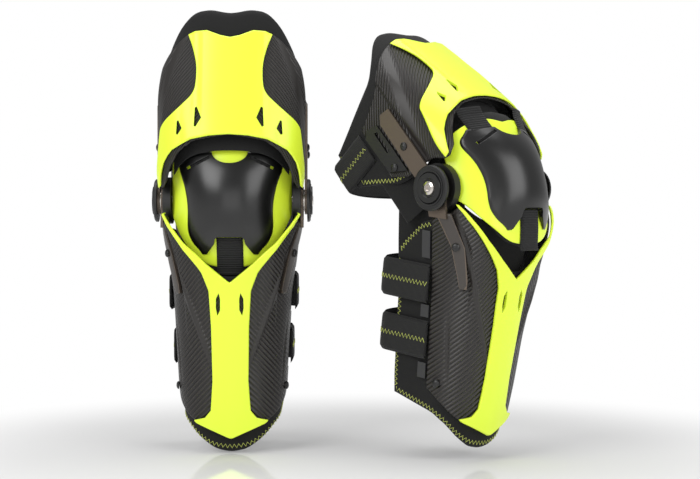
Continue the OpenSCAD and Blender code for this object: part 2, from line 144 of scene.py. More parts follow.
def thigh_skin(t, z, off):
    """The thigh shell's face: it stands 3.6 mm proud in front of the arm, which lies in a recess."""
    proud = 3.6 * by(np.abs(t), (35, 0), (60, 1), (77, 1), (81, 0))
    return thigh_at(t, z, off + proud * smooth_by(z, (8, 0.3), (30, 1), (125, 1), (165, 0)))


def shin_skin(t, z, off):
    """The shin shell's face, proud in front of the blade and fading towards the ankle."""
    a = np.abs(t)
    step = np.clip(np.minimum((a - 24) / 12, (blade_front(z) - 3 - a) / 4), 0, 1)
    return shin_at(t, z, off + 3.6 * step * smooth_by(z, (-150, 0), (-100, 0.7), (-28, 1)))


def cup_at(t, z, off):
    """The cup's section: a plain ellipse whose depth falls off above and below the knee axis."""
    a = np.radians(t)
    depth = 54 + off - 14 * (z / 70) ** 2
    return np.stack([(65.6 + off) * np.sin(a), -depth * np.cos(a), z + 0 * t], axis=-1)


def angle_at(x, w):
    """The section angle, in degrees, at which x is reached."""
    return np.sign(x) * np.degrees(np.arcsin(np.clip(np.abs(x) / w, 0, 1) ** 1.25))


print("thigh half width at the hinge", float(thigh_w(40.0)), "shin", float(shin_w(-30.0)))

# %% [markdown]
# ## Making a skin
# A moulded panel has an outer and an inner face that meet in a rounded rim. Both faces are one grid each,
# and near the border the two close up along a quarter circle, as a mould's parting edge would leave them.

# %% skins, tubes and their texture coordinates


def rows_of(lo, hi, n):
    """n heights between two arrays, spaced closer at both ends: k = (1 - cos) / 2 mixed with even steps."""
    s = np.linspace(0, 1, n)
    k = (0.5 * s + 0.5 * (1 - np.cos(np.pi * s)) / 2)[:, None]
    return lo[None, :] * (1 - k) + hi[None, :] * k


def lengths(p, axis):
    """Running length along a grid's rows or columns, from zero."""
    d = np.linalg.norm(np.diff(p, axis=axis), axis=-1)
    z = np.zeros_like(np.take(d, [0], axis=axis))
    return np.concatenate([z, np.cumsum(d, axis=axis)], axis=axis)


def mesh_from(name, points, faces, uv=None, marks=None):
    """A mesh object from whole arrays: points n x 3, quads m x 4, one uv and one mark per point."""
    me = bpy.data.meshes.new(name)
    me.vertices.add(len(points))
    me.vertices.foreach_set("co", np.asarray(points, np.float32).ravel())
    me.loops.add(faces.size)
    me.loops.foreach_set("vertex_index", faces.astype(np.int32).ravel())
    me.polygons.add(len(faces))
    me.polygons.foreach_set("loop_start", np.arange(0, faces.size, faces.shape[1], dtype=np.int32))
    me.polygons.foreach_set("use_smooth", np.ones(len(faces), bool))
    if uv is not None:
        layer = me.uv_layers.new(name="UVMap")
        layer.data.foreach_set("uv", np.asarray(uv, np.float32)[faces.ravel()].ravel())
    if marks is not None:
        me.attributes.new("mark", "FLOAT", "POINT").data.foreach_set("value", np.asarray(marks, np.float32))
    me.update(calc_edges=True)
    me.validate()
    o = bpy.data.objects.new(name, me)
    bpy.context.collection.objects.link(o)
    return o


def skin(name, at, t, z, lift, wall, edge, matrix, swell=None, mark=None):
    """A closed panel. at(t, z, off) gives the surface; the outer face stands lift + wall off it and the
    inner one lift. Within edge of the border both close up as sqrt(1 - (1 - s)^2). swell moves both out."""
    mid = at(t, z, lift + wall / 2)
    along, up = lengths(mid, 1), lengths(mid, 0)
    near = np.minimum(np.minimum(along, along[:, -1:] - along), np.minimum(up, up[-1:] - up))
    f = np.sqrt(1 - (1 - np.clip(near / edge, 0.0, 1)) ** 2) * 0.94 + 0.06
    more = 0 if swell is None else swell
    outer = at(t, z, lift + wall / 2 + f * wall / 2 + more)
    inner = at(t, z, lift + wall / 2 - f * wall / 2 + 0 * more)
    rows, cols = t.shape
    n = rows * cols
    idx = np.arange(n).reshape(rows, cols)
    a, b, c, d = idx[:-1, :-1], idx[:-1, 1:], idx[1:, 1:], idx[1:, :-1]
    out = np.stack([a, b, c, d], -1).reshape(-1, 4)
    inn = np.stack([a, d, c, b], -1).reshape(-1, 4) + n
    ring = np.concatenate([idx[0, :-1], idx[:-1, -1], idx[-1, :0:-1], idx[:0:-1, 0]])
    nxt = np.roll(ring, -1)
    rim = np.stack([ring, ring + n, nxt + n, nxt], -1)
    pts = np.concatenate([outer.reshape(-1, 3), inner.reshape(-1, 3)])
    middle = along[:, [cols // 2]]
    uv = np.stack([along - middle, z], -1).reshape(-1, 2) * MM
    mk = np.ones(n) if mark is None else mark.reshape(-1)
    return mesh_from(name, carried(pts, matrix), np.concatenate([out, inn, rim]), np.concatenate([uv, uv]),
                     np.concatenate([mk, mk]))


def tube(name, path, radius, matrix, sides=6):
    """A round thread along a path: rings of that radius set square to the path, closed at both ends."""
    tangent = np.gradient(path, axis=0)
    tangent /= np.linalg.norm(tangent, axis=1, keepdims=True) + 1e-9
    ref = np.where(np.abs(tangent[:, 2:]) < 0.9, [[0, 0, 1.0]], [[0, 1.0, 0]])
    u = np.cross(tangent, ref)
    u /= np.linalg.norm(u, axis=1, keepdims=True)
    v = np.cross(tangent, u)
    a = np.linspace(0, 2 * np.pi, sides, endpoint=False)
    ring = path[:, None] + radius * (np.cos(a)[None, :, None] * u[:, None] + np.sin(a)[None, :, None] * v[:, None])
    n = len(path)
    i = np.arange(n * sides).reshape(n, sides)
    j = np.roll(i, -1, axis=1)
    faces = np.stack([i[:-1], i[1:], j[1:], j[:-1]], -1).reshape(-1, 4)
    ends = np.array([[i[0, 0], i[0, 1], i[0, 2], i[0, 3]], [i[0, 0], i[0, 3], i[0, 4], i[0, 5]],
                     [i[-1, 3], i[-1, 2], i[-1, 1], i[-1, 0]], [i[-1, 5], i[-1, 4], i[-1, 3], i[-1, 0]]])
    return mesh_from(name, carried(ring.reshape(-1, 3), matrix), np.concatenate([faces, ends]))


def zigzag(path, normal, step, width):
    """A zigzag stitch line: the path cut every step, each point moved to alternate sides by half the width."""
    run = np.concatenate([[0], np.cumsum(np.linalg.norm(np.diff(path, axis=0), axis=1))])
    s = np.arange(0, run[-1], step)
    p = np.stack([np.interp(s, run, path[:, k]) for k in range(3)], -1)
    m = np.stack([np.interp(s, run, normal[:, k]) for k in range(3)], -1)
    m /= np.linalg.norm(m, axis=1, keepdims=True)
    side = np.cross(m, np.gradient(p, axis=0))
    side /= np.linalg.norm(side, axis=1, keepdims=True)
    flip = np.where(np.arange(len(s)) % 2 == 0, 1.0, -1.0)[:, None]
    return p + side * flip * width / 2


# %% [markdown]
# ## Materials
# The plates are polypropylene with a fluorescent pigment, which gives back a little more light than it gets; here that
# is a faint painted glow from emission.
# The shells are talc-filled polypropylene, the arms anodised aluminium, and the soft parts neoprene and nylon.

# %% colours and the node helper


def rgb(code):
    """sRGB hex to linear: ((c + 0.055) / 1.055)^2.4 above 0.04045."""
    c = np.array([int(code[i:i + 2], 16) for i in (1, 3, 5)]) / 255
    return (*np.where(c <= 0.04045, c / 12.92, ((c + 0.055) / 1.055) ** 2.4).tolist(), 1.0)


def add(tree, kind, links=None, **settings):
    """Adds one node. Plain settings go on the node, or on an input when the name is one; links join sockets."""
    n = tree.nodes.new(kind)
    for key, value in settings.items():
        if key in n.inputs:
            n.inputs[key].default_value = value
        elif key[0] == "_":
            n.inputs[int(key[1:])].default_value = value
        else:
            setattr(n, key, value)
    for key, source in (links or {}).items():
        tree.links.new(source, n.inputs[key])
    return n


def material(name, colour, **surface):
    """A Principled material with constants set on it; gives back (material, tree, shader)."""
    m = bpy.data.materials.new(name)
    m.use_nodes = True
    tree = m.node_tree
    shader = tree.nodes["Principled BSDF"]
    shader.inputs["Base Color"].default_value = rgb(colour)
    for key, value in surface.items():
        shader.inputs[key.replace("_", " ")].default_value = value
    m.diffuse_color = rgb(colour)
    return m, tree, shader


# fluorescent polypropylene, semi-gloss: IOR 1.49; the weak emission is a painted glow that brightens the yellow
YELLOW, tree, shader = material("fluorescent_polypropylene", "#D9F038", Roughness=0.36, IOR=1.49,
                                Emission_Strength=0.05, Coat_Weight=0.15, Coat_Roughness=0.2)
shader.inputs["Emission Color"].default_value = rgb("#E6FF2A")
spots = add(tree, "ShaderNodeTexNoise", {"Vector": add(tree, "ShaderNodeTexCoord").outputs["Object"]}, Scale=900.0)
bump = add(tree, "ShaderNodeBump", {"Height": spots.outputs["Fac"]}, Strength=0.05, Distance=0.0004)
tree.links.new(bump.outputs["Normal"], shader.inputs["Normal"])


def ribbed_plastic(name, colour, high, pitch, slant):
    """Moulded ribs: height = sin(2 pi (u cos a + |v| sin a) / pitch), times the mark on the mesh; the colour runs from
    the base to a painted highlight tone on the crests.
    """
    m, tree, shader = material(name, colour, Roughness=0.42, IOR=1.49)
    uv = add(tree, "ShaderNodeUVMap", uv_map="UVMap")
    parts = add(tree, "ShaderNodeSeparateXYZ", {"Vector": uv.outputs["UV"]})
    side = add(tree, "ShaderNodeMath", {0: parts.outputs["X"]}, operation="ABSOLUTE")
    across = add(tree, "ShaderNodeMath", {0: side.outputs[0]}, operation="MULTIPLY",
                 _1=2 * math.pi * math.cos(math.radians(slant)) / (pitch * MM))
    along = add(tree, "ShaderNodeMath", {0: parts.outputs["Y"]}, operation="MULTIPLY",
                _1=2 * math.pi * math.sin(math.radians(slant)) / (pitch * MM))
    total = add(tree, "ShaderNodeMath", {0: across.outputs[0], 1: along.outputs[0]}, operation="ADD")
    wave = add(tree, "ShaderNodeMath", {0: total.outputs[0]}, operation="SINE")
    mark = add(tree, "ShaderNodeAttribute", attribute_name="mark")
    ribs = add(tree, "ShaderNodeMath", {0: wave.outputs[0], 1: mark.outputs["Fac"]}, operation="MULTIPLY")
    bump = add(tree, "ShaderNodeBump", {"Height": ribs.outputs[0]}, Strength=0.8, Distance=0.0006)
    # painted highlight: rib crests are coloured towards the lighter tone and troughs towards the base
    rib_highlight_fac = add(tree, "ShaderNodeMapRange", {"Value": ribs.outputs[0]}, **{"From Min": -1.0, "From Max": 1.0})
    mix = add(tree, "ShaderNodeMix", {"Factor": rib_highlight_fac.outputs[0]}, data_type="RGBA")
    mix.inputs["A"].default_value = rgb(colour)
    mix.inputs[6].default_value = rgb(colour)
    mix.inputs[7].default_value = rgb(high)
    tree.links.new(mix.outputs[2], shader.inputs["Base Color"])
    tree.links.new(bump.outputs["Normal"], shader.inputs["Normal"])
    return m


# talc-filled polypropylene with ribs 3.2 mm and 4.9 mm apart; the second colour is a painted highlight on the rib
# crests
THIGH_SHELL = ribbed_plastic("ribbed_polypropylene_thigh", "#100F0E", "#2A2623", 3.0, 45)
SHIN_SHELL = ribbed_plastic("ribbed_polypropylene_shin", "#100F0E", "#2B2724", 4.6, 50)


def cloth(name, colour, grain, strength, **more):
    """Knitted or woven cloth: noise grain at a real size in the bump, full roughness and sheen."""
    m, tree, shader = material(name, colour, Roughness=0.92, Sheen_Weight=0.04, Sheen_Roughness=0.5, **more)
    at = add(tree, "ShaderNodeTexCoord")
    noise = add(tree, "ShaderNodeTexNoise", {"Vector": at.outputs["Object"]}, Scale=1 / grain)
    noise.inputs["Detail"].default_value = 3.0
    bump = add(tree, "ShaderNodeBump", {"Height": noise.outputs["Fac"]}, Strength=strength, Distance=0.0005)
    tree.links.new(bump.outputs["Normal"], shader.inputs["Normal"])
    return m


def webbing(name, colour, pitch, depth):
    """Woven band: ribs across its length, height = sin(2 pi v / pitch) with v along the band."""
    m, tree, shader = material(name, colour, Roughness=0.8, Sheen_Weight=0.04, Sheen_Roughness=0.5)
    uv = add(tree, "ShaderNodeUVMap", uv_map="UVMap")
    parts = add(tree, "ShaderNodeSeparateXYZ", {"Vector": uv.outputs["UV"]})
    scaled = add(tree, "ShaderNodeMath", {0: parts.outputs["Y"]}, operation="MULTIPLY",
                 _1=2 * math.pi / (pitch * MM))
    wave = add(tree, "ShaderNodeMath", {0: scaled.outputs[0]}, operation="SINE")
    bump = add(tree, "ShaderNodeBump", {"Height": wave.outputs[0]}, Strength=0.7, Distance=depth * MM)
    tree.links.new(bump.outputs["Normal"], shader.inputs["Normal"])
    return m


NEOPRENE = cloth("neoprene_knit", "#070707", 0.0007, 0.5)
ELASTIC = webbing("woven_elastic", "#080808", 1.6, 0.25)
RIBBED = webbing("ribbed_webbing", "#070707", 2.4, 0.45)
THREAD = cloth("polyester_thread", "#B7BF62", 0.0006, 0.3)
BRONZE, tree, shader = material("anodised_aluminium", "#6B6056", Metallic=0.8, Roughness=0.42)
ARM, tree, shader = material("moulded_arm_blade", "#3A3531", Roughness=0.4, IOR=1.49)
COVER, tree, shader = material("smooth_polyurethane", "#070707", Roughness=0.3, IOR=1.5, Coat_Weight=0.2,
                               Coat_Roughness=0.25)
BLACK, tree, shader = material("nylon_black", "#0A0A0A", Roughness=0.42, IOR=1.53)
GREY, tree, shader = material("nylon_grey", "#2A2A2C", Roughness=0.5, IOR=1.53)
RING, tree, shader = material("nylon_ring", "#161616", Roughness=0.36, IOR=1.53)
STEEL, tree, shader = material("nickel_plated_steel", "#C8C2BC", Metallic=1.0, Roughness=0.24)
print("materials", len(bpy.data.materials))


def dress(o, mat, group, side, slot, *nodes):
    """Gives a piece its material, body and the CAD nodes it stands for; slot is not used."""
    o.data.materials.clear()
    o.data.materials.append(mat)
    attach(o, BODY[group](side))
    if nodes:
        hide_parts(*[n + "_" + side for n in nodes])
    return o


def cut(o, name, outline, y_from, y_to, matrix):
    """Cuts a straight opening through a panel: the outline (x, z) run along Y, taken away exactly."""
    n = len(outline)
    pts = np.array([[x, y, z] for y in (y_from, y_to) for x, z in outline], float)
    me = bpy.data.meshes.new(name)
    sides = [[i, (i + 1) % n, (i + 1) % n + n, i + n] for i in range(n)]
    me.from_pydata(carried(pts, matrix).tolist(), [], [list(range(n))[::-1], list(range(n, 2 * n))] + sides)
    tool = bpy.data.objects.new(name, me)
    bpy.context.collection.objects.link(tool)
    bpy.context.view_layer.objects.active = tool
    bpy.ops.object.select_all(action="DESELECT")
    tool.select_set(True)
    bpy.ops.object.mode_set(mode="EDIT")
    bpy.ops.mesh.select_all(action="SELECT")
    bpy.ops.mesh.normals_make_consistent(inside=False)
    bpy.ops.object.mode_set(mode="OBJECT")
    mod = o.modifiers.new("cut", "BOOLEAN")
    mod.object, mod.operation, mod.solver = tool, "DIFFERENCE", "EXACT"
    deps = bpy.context.evaluated_depsgraph_get()
    done = bpy.data.meshes.new_from_object(o.evaluated_get(deps))
    o.modifiers.clear()
    o.data = done
    bpy.data.objects.remove(tool)
    return o


# %% [markdown]
# ## The charcoal shells
# Each is one moulding. Its border follows the arch over the cup, drops to a wing beside the hinge and rises
# again over the hinge cover.

# %% thigh and shin shells


def thigh_top(t):
    return smooth_by(np.abs(t), (0, 172), (20, 179), (36, 177), (52, 168), (66, 155), (80, 138), (90, 128),
                     (130, 112))


def thigh_bottom(t):
    return by(np.abs(t), (0, 68), (24, 62), (38, 52), (48, 38), (56, 20), (64, 13), (69, 14), (76, 22),
              (84, 27), (110, 32), (130, 48))


def shin_top(t):
    return by(np.abs(t), (0, -86), (12, -79), (25, -66), (40, -46), (55, -27), (66, -15), (71, -20), (80, -28),
              (90, -29), (130, -52), (150, -70))


def shin_bottom(t):
    return smooth_by(np.abs(t), (0, -246), (30, -240), (55, -228), (75, -216), (94, -205))


def ridge(value, centre, half):
    """A smooth bump of height 1: cos^2 within half of the centre."""
    s = np.clip(np.abs(value - centre) / half, 0, 1)
    return np.cos(s * np.pi / 2) ** 2


def thigh_shell(side):
    t1 = np.linspace(-130, 130, 281)
    z = rows_of(thigh_bottom(t1), thigh_top(t1), 120)
    t = np.broadcast_to(t1, z.shape)
    band = ridge(np.abs(t) + 0.28 * (z - 110), 64, 10)
    mark = 1 - np.clip(band * 1.6, 0, 1)
    o = skin("thigh_shell_skin_" + side, thigh_skin, t, z, -2.6, 2.6, 2.0, place(side, "thigh"),
             swell=-0.7 * np.clip(band * 2, 0, 1), mark=mark)
    return dress(o, THIGH_SHELL, "thigh", side, "carbon_look_shell", "thigh_shell")


def shin_shell(side):
    t1 = np.linspace(-94, 94, 241)
    z = rows_of(shin_bottom(t1), shin_top(t1), 150)
    t = np.broadcast_to(t1, z.shape)
    rib = ridge(np.abs(t) - 0.36 * (z + 28), 66, 5) * np.clip((z + 200) / 60, 0, 1)
    groove = ridge(np.abs(t) - 0.10 * (z + 170), 66, 4) * ridge(z, -160, 46)
    mark = 1 - np.clip(rib * 1.8 + groove * 1.5, 0, 1)
    o = skin("shin_shell_skin_" + side, shin_skin, t, z, -2.6, 2.6, 2.0, place(side, "shin"),
             swell=1.6 * rib - 1.2 * groove, mark=mark)
    return dress(o, SHIN_SHELL, "shin", side, "carbon_look_shell", "shin_shell")


for side in SIDES:
    for o in (thigh_shell(side), shin_shell(side)):
        print(o.name, len(o.data.polygons), "faces")

# %% [markdown]
# ## The bright plates
# The thigh plate is a saddle with two wings, waisted in the middle and flared again at the top.
# The shin plate is a Y whose stem ends in an arrow head. Slots let air through.

# %% thigh, shin and cup plates


def thigh_plate_out(z):
    return smooth_by(z, (15, 72.4), (24, 72.6), (38.5, 72), (60, 70), (80, 68), (96, 53), (113, 35), (130, 33),
                     (145, 33.5), (162, 38), (177, 44))


def arch(x):
    """Lower edge of the thigh plate by distance from the middle."""
    return by(np.abs(x), (0, 68.5), (20, 67.2), (40, 63.5), (51, 58), (59, 52.5), (63, 46), (66, 38.5),
              (68, 27), (70, 15), (72, 13))


def thigh_plate_crest(x):
    return by(np.abs(x), (0, 171.5), (10, 173.5), (24, 179), (36, 178), (44, 175))


def thigh_plate(side):
    """The plate as a grid over (s, k): s runs across from wing to wing, and on each column z runs from the
    arch up to the outline, which bounds the same x above."""
    s = np.linspace(-1, 1, 321)
    low_x = 72.2 * np.sign(s) * np.abs(s) ** 0.9
    low_z = arch(low_x)
    high_x = 44 * s
    high_z = thigh_plate_crest(high_x)
    k = np.linspace(0, 1, 130)[:, None]
    z = low_z * (1 - k) + high_z * k
    wide = thigh_plate_out(z)
    x = wide * np.sign(s) * np.abs(s) ** (0.9 + 0.1 * k)
    t = angle_at(x, thigh_w(z))
    crease = ridge(np.abs(x), 33, 7) * np.clip((z - 70) / 30, 0, 1)
    hollow = ridge(np.abs(x), 52, 12) * ridge(z, 66, 22)
    o = skin("thigh_plate_skin_" + side, thigh_skin, t, z, 1.0, 2.4, 2.4, place(side, "thigh"),
             swell=0.9 * crease - 0.5 * hollow)
    for sign in (-1, 1):
        inner = [(4.4, -1), (-0.4, 10.5), (-2.4, 9.5), (-3.4, -9.5), (-1.6, -10.8)]
        outer = [(3.6, -1), (-0.2, 7.6), (-1.8, 6.8), (-2.6, -6.6), (-1.0, -7.8)]
        cut(o, "slot", [(sign * (33 - x), 87 + z) for x, z in inner], -90, -20, place(side, "thigh"))
        cut(o, "slot", [(sign * (53 - x), 76 + z) for x, z in outer], -90, -20, place(side, "thigh"))
    return dress(o, YELLOW, "thigh", side, "fluorescent_plate", "thigh_plate")


def shin_plate_out(z):
    return by(z, (-252, 1), (-246, 14), (-236, 36), (-233, 39), (-230, 27), (-222, 20.8), (-190, 18.7),
              (-133, 19.7), (-95, 22), (-76, 29), (-53, 45), (-27, 62), (-13, 69))


def shin_plate_in(z):
    return by(z, (-86, 0), (-66, 24), (-46, 44), (-27, 58.5), (-13, 67.6))


def shin_plate(side):
    """Two grids in one: s runs from the left outline to the right one; above the fork each row jumps the V."""
    z1 = np.concatenate([np.linspace(-252, -228, 26), np.linspace(-226, -88, 70), np.linspace(-86, -13, 60)])
    half = np.linspace(0, 1, 28)
    objs = []
    for sign in (-1, 1):
        x = shin_plate_in(z1)[:, None] * (1 - half) + shin_plate_out(z1)[:, None] * half
        x = sign * (x[:, ::-1] if sign < 0 else x)
        z = np.broadcast_to(z1[:, None], x.shape)
        t = angle_at(x, shin_w(z))
        objs.append((t, z))
    out = []
    for (t, z), sign in zip(objs, (-1, 1)):
        mid = shin_skin(t, z, 1.7)
        along, up = lengths(mid, 1), lengths(mid, 0)
        from_side = along if sign < 0 else along[:, -1:] - along
        from_fork = np.where(z > -86, along[:, -1:] - along if sign < 0 else along, 99)
        near = np.minimum(np.minimum(from_side, from_fork), np.minimum(up, up[-1:] - up))
        f = np.sqrt(1 - (1 - np.clip(near / 2.2, 0, 1)) ** 2)
        spine = ridge(np.abs(t), 0, 16) * np.clip((-z - 86) / 30, 0, 1)
        grid = (shin_skin(t, z, 1.0 + 2.4 * f + 0.8 * spine), shin_skin(t, z, 1.0 + 0 * f))
        rows, cols = t.shape
        n = rows * cols
        idx = np.arange(n).reshape(rows, cols)
        a, b, c, d = idx[:-1, :-1], idx[:-1, 1:], idx[1:, 1:], idx[1:, :-1]
        faces = np.concatenate([np.stack([a, b, c, d], -1).reshape(-1, 4),
                                np.stack([a, d, c, b], -1).reshape(-1, 4) + n])
        ring = np.concatenate([idx[0, :-1], idx[:-1, -1], idx[-1, :0:-1], idx[:0:-1, 0]])
        nxt = np.roll(ring, -1)
        seam = (np.abs(t.reshape(-1)[ring]) < 1e-6) & (np.abs(t.reshape(-1)[nxt]) < 1e-6)
        rim = np.stack([ring, ring + n, nxt + n, nxt], -1)[~seam]
        out.append((np.concatenate([g.reshape(-1, 3) for g in grid]), np.concatenate([faces, rim])))
    pts = np.concatenate([out[0][0], out[1][0]])
    faces = np.concatenate([out[0][1], out[1][1] + len(out[0][0])])
    o = mesh_from("shin_plate_skin_" + side, carried(pts, place(side, "shin")), faces)
    weld(o)
    for sign in (-1, 1):
        lens = [(1.0, -12), (2.6, -4), (2.4, 6), (-0.6, 12), (-2.0, 6), (-2.0, -6)]
        cut(o, "slot", [(sign * (12 + x), -109 + z) for x, z in lens], -90, -20, place(side, "shin"))
    return dress(o, YELLOW, "shin", side, "fluorescent_plate", "shin_plate")


def weld(o):
    """Joins points within a hundredth of a millimetre and turns every face outward."""
    bpy.ops.object.select_all(action="DESELECT")
    bpy.context.view_layer.objects.active = o
    o.select_set(True)
    bpy.ops.object.mode_set(mode="EDIT")
    bpy.ops.mesh.select_all(action="SELECT")
    bpy.ops.mesh.remove_doubles(threshold=0.00001)
    bpy.ops.mesh.normals_make_consistent(inside=False)
    bpy.ops.object.mode_set(mode="OBJECT")


def cup_top(t):
    return smooth_by(np.abs(t), (0, 57), (8, 60), (22, 62), (36, 59), (52, 54), (65, 48), (78, 36))


def cup_bottom(t):
    return smooth_by(np.abs(t), (0, -71), (16, -70), (26, -66), (36, -57), (52, -42), (65, -26), (78, -14))


def cup_shell(side):
    t1 = np.linspace(-78, 78, 161)
    z = rows_of(cup_bottom(t1), cup_top(t1), 90)
    t = np.broadcast_to(t1, z.shape)
    o = skin("cup_shell_skin_" + side, cup_at, t, z, -2.6, 2.6, 2.0, place(side, "cup"))
    return dress(o, YELLOW, "cup", side, "fluorescent_plate", "cup_shell")


for side in SIDES:
    for o in (thigh_plate(side), shin_plate(side), cup_shell(side)):
        print(o.name, len(o.data.polygons), "faces")

# %% [markdown]
# ## The knee cover
# A smooth domed cover sits on the cup and is left plain. Its sides are drawn in below four soft corners,
# and it is notched above and below where the elastic straps pass.

# %% the domed cover


def cover_half(z):
    return smooth_by(z, (-57, 27), (-50, 36), (-40, 43), (-30, 45.6), (-18, 45), (-5, 45), (8, 47), (20, 50),
                     (30, 54), (38, 56), (44, 54), (48, 50), (51, 44))


def cup_y(x, z):
    return -(54 - 14 * (z / 70) ** 2) * np.sqrt(1 - np.clip(np.abs(x) / 65.6, 0, 1) ** 2)


def cup_cover(side):
    """Height over the cup = 1.8 + 9.5 (1 - |u|^2.4)^0.8 (1 - |(z + 3) / 54.5|^2.4)."""
    u = np.linspace(-1, 1, 161)[None, :]
    z = np.linspace(-57, 51, 140)[:, None] + 0 * u
    x = cover_half(z) * u
    dome = 9.5 * (1 - np.abs(u) ** 2.4) ** 0.8 * (1 - np.clip(np.abs(z + 3) / 54.5, 0, 1) ** 2.4)

    base = np.stack([x, cup_y(x, z) - 0.5, z], -1)
    along, up = lengths(base, 1), lengths(base, 0)
    near = np.minimum(np.minimum(along, along[:, -1:] - along), np.minimum(up, up[-1:] - up))
    f = np.sqrt(1 - (1 - np.clip(near / 2.4, 0, 1)) ** 2) * 0.95 + 0.05
    pts = np.concatenate([np.stack([x, cup_y(x, z) - 0.5 - 1.8 * f - dome, z], -1).reshape(-1, 3),
                          base.reshape(-1, 3)])
    rows, cols = x.shape
    n = rows * cols
    idx = np.arange(n).reshape(rows, cols)
    a, b, c, d = idx[:-1, :-1], idx[:-1, 1:], idx[1:, 1:], idx[1:, :-1]
    ring = np.concatenate([idx[0, :-1], idx[:-1, -1], idx[-1, :0:-1], idx[:0:-1, 0]])
    nxt = np.roll(ring, -1)
    faces = np.concatenate([np.stack([a, b, c, d], -1).reshape(-1, 4),
                            np.stack([a, d, c, b], -1).reshape(-1, 4) + n,
                            np.stack([ring, ring + n, nxt + n, nxt], -1)])
    o = mesh_from("cup_cover_skin_" + side, carried(pts, place(side, "cup")), faces)
    arc = [(19.5 * math.cos(a), 56 - 17 * math.sin(a) ** 0.7) for a in np.linspace(0, math.pi, 19)]
    cut(o, "notch", arc, -90, -10, place(side, "cup"))
    low = [(-27, -60), (27, -60), (16.5, -46), (15.4, -41), (13, -38.5), (-13, -38.5), (-15.4, -41), (-16.5, -46)]
    cut(o, "notch", low, -90, -10, place(side, "cup"))
    for sign in (-1, 1):
        slot = [(sign * 22, 47), (sign * 46, 35), (sign * 44.8, 32.2), (sign * 20.8, 44.2)]
        cut(o, "slot", slot, -90, -20, place(side, "cup"))
    return dress(o, COVER, "cup", side, "cup_cover_black", "cup_cover")


for side in SIDES:
    print(cup_cover(side).name, "made")

# %% [markdown]
# ## The soft parts
# Neoprene-faced foam, cut to the shell's outline with a margin and whipped round with bright zigzag thread.
# It is plump in the middle and pinched at the edge, where it is stitched.

# %% liners, pads and their stitching


def thigh_liner_top(t):
    return smooth_by(np.abs(t), (0, 198), (18, 202), (40, 200), (55, 190), (70, 172), (90, 152), (120, 142),
                     (150, 132), (182, 122))


def thigh_liner_bottom(t):
    return smooth_by(np.abs(t), (0, 74), (24, 72), (38, 68), (52, 60), (60, 52), (70, 48), (80, 41), (88, 30),
                     (110, 32), (130, 38), (150, 54), (182, 77))


def shin_liner_top(t):
    return by(np.abs(t), (0, -80), (16, -79), (27, -75), (37, -64), (50, -55), (61, -49), (70, -39), (80, -32),
              (90, -30), (112, -36), (134, -54), (150, -70))


def shin_liner_bottom(t):
    return smooth_by(np.abs(t), (0, -267), (25, -264), (45, -255), (65, -242), (90, -232), (150, -220))


def foam(name, at, lo, hi, reach, count, thick, group, side, node):
    t1 = np.linspace(-reach, reach, 201)
    z = rows_of(lo(t1), hi(t1), count)
    t = np.broadcast_to(t1, z.shape)
    o = skin(name + "_soft_" + side, at, t, z, -3.1 - thick, thick, 7.0, place(side, group))
    dress(o, NEOPRENE, group, side, "liner_foam", node)
    return o


def stitch(name, at, t, z, off, group, side, step=2.4, width=4.0):
    """A zigzag of bright thread laid on a surface along a line of (t, z)."""
    p = at(t, z, off)
    normal = at(t, z, off + 1) - p
    flat = zigzag(p, normal, step, width)
    o = tube(name + "_" + side, flat, 0.45, place(side, group))
    dress(o, THREAD, group, side, "liner_foam")
    return o


for side in SIDES:
    foam("thigh_liner", thigh_at, thigh_liner_bottom, thigh_liner_top, 182, 90, 9.0, "thigh", side,
         "thigh_liner")
    foam("shin_liner", shin_at, shin_liner_bottom, shin_liner_top, 150, 110, 9.0, "shin", side, "shin_liner")
    foam("knee_pad", cup_at, lambda t: by(np.abs(t), (0, -74), (26, -66), (36, -58), (62, -26)),
         lambda t: by(np.abs(t), (0, 72), (20, 70), (36, 60), (62, 44)), 62, 60, 7.0, "cup", side, "knee_pad")
    t = np.linspace(-144, 144, 420)
    stitch("hem_stitch", shin_at, t, shin_liner_bottom(t) + 6, -3.0, "shin", side)
    for sign in (-1, 1):
        z = np.linspace(-212, -76, 200)
        stitch("calf_edge_stitch_" + ("a" if sign < 0 else "b"), shin_at, 0 * z + sign * 144, z, -3.0, "shin",
               side)
        z = np.linspace(82, 116, 60)
        stitch("thigh_edge_stitch_" + ("a" if sign < 0 else "b"), thigh_at, 0 * z + sign * 175, z, -2.9,
               "thigh", side)
        t = sign * np.linspace(96, 172, 120)
        stitch("thigh_hem_stitch_" + ("a" if sign < 0 else "b"), thigh_at, t, thigh_liner_bottom(t) + 5, -2.9,
               "thigh", side)
        t = sign * np.linspace(98, 144, 80)
        stitch("calf_top_stitch_" + ("a" if sign < 0 else "b"), shin_at, t, shin_liner_top(t) - 5, -2.9,
               "shin", side)



def apron(name, at, t1, lo, hi, deep, group, other, side):
    """Stretch cloth that closes the front between two shells, set well in behind the cup."""
    z = rows_of(lo, hi, 50)
    t = np.broadcast_to(t1, z.shape)
    o = skin(name + "_" + side, at, t, z, -deep, 2.0, 1.0, place(side, group))
    o.data.materials.append(NEOPRENE)
    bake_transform(o)
    return o


for side in SIDES:
    t1 = np.linspace(-84, 84, 101)
    far = np.abs(t1 / 84)
    apron("knee_apron", shin_at, t1, -96 + 50 * far ** 2, -34 + 30 * far ** 2, 17.5, "shin",
          (BODY["shin"](side), BODY["cup"](side)), side)
    apron("thigh_apron", thigh_at, t1, 52 - 34 * far ** 2, 84 - 30 * far ** 2, 15.5, "thigh",
          (BODY["cup"](side), BODY["thigh"](side)), side)


